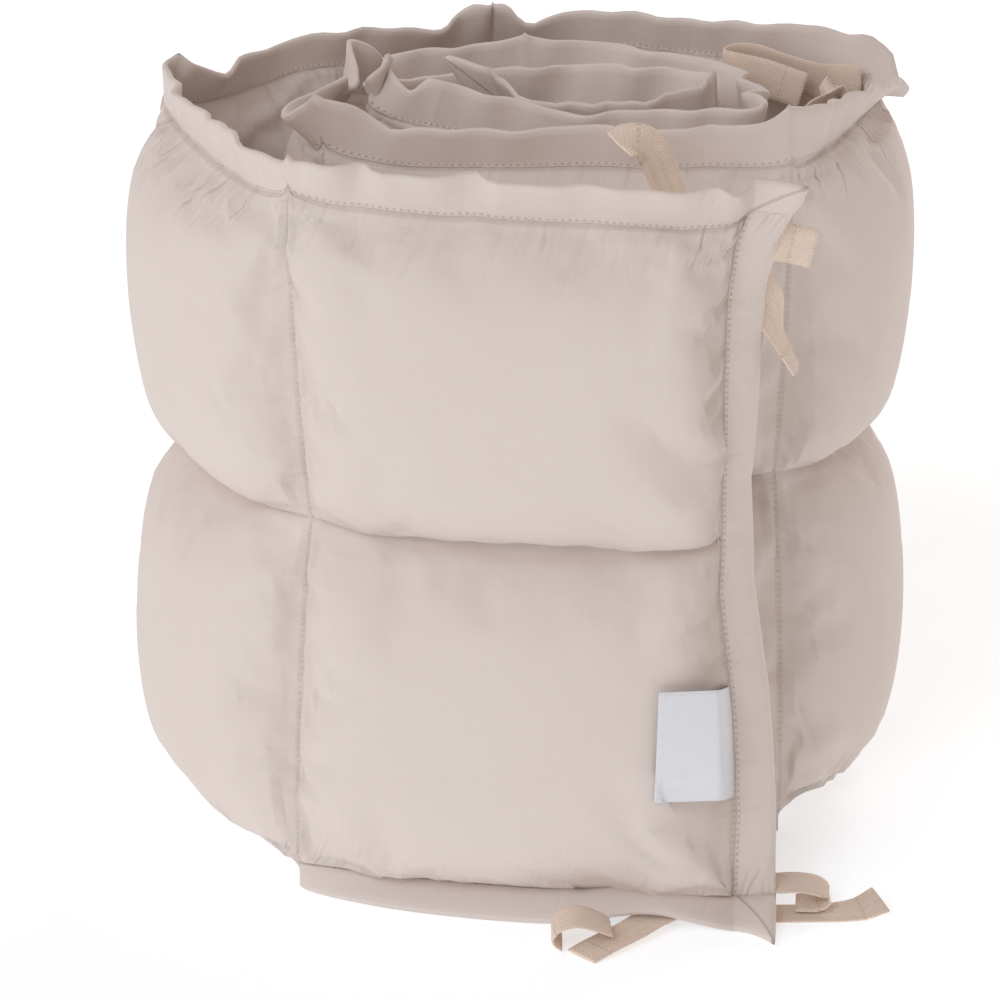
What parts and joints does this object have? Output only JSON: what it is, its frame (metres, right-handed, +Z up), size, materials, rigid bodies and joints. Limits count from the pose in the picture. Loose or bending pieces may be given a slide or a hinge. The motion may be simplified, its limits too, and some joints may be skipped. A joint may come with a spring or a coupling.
{
  "type": "crib bumper",
  "caption": "Padded crib bumper, a quilted cloth strip with tie tapes, loosely rolled and standing on its long edge.",
  "frame": {"origin": "on the floor, under the centre of the bounding box", "axes": "+Z up along the strip's upright seams, -Y towards the free end and the label, +X to the right seen from there"},
  "size_m": [0.305, 0.3036, 0.3076],
  "materials": {
    "cotton": "smooth woven cotton, off-white with a warm tint",
    "twill": "twill-woven tape, cream",
    "satin": "smooth woven label, white, bare"
  },
  "bodies": {
    "root": {"padded_strip": "cotton", "label": "satin", "tie_top_over": "twill", "tie_top_side": "twill", "tie_top_hang": "twill", "tie_back_long": "twill", "tie_back_loop": "twill", "tie_foot_left": "twill", "tie_foot_left_loop": "twill", "tie_foot_right": "twill", "tie_foot_right_loop": "twill"}
  },
  "joints": []
}
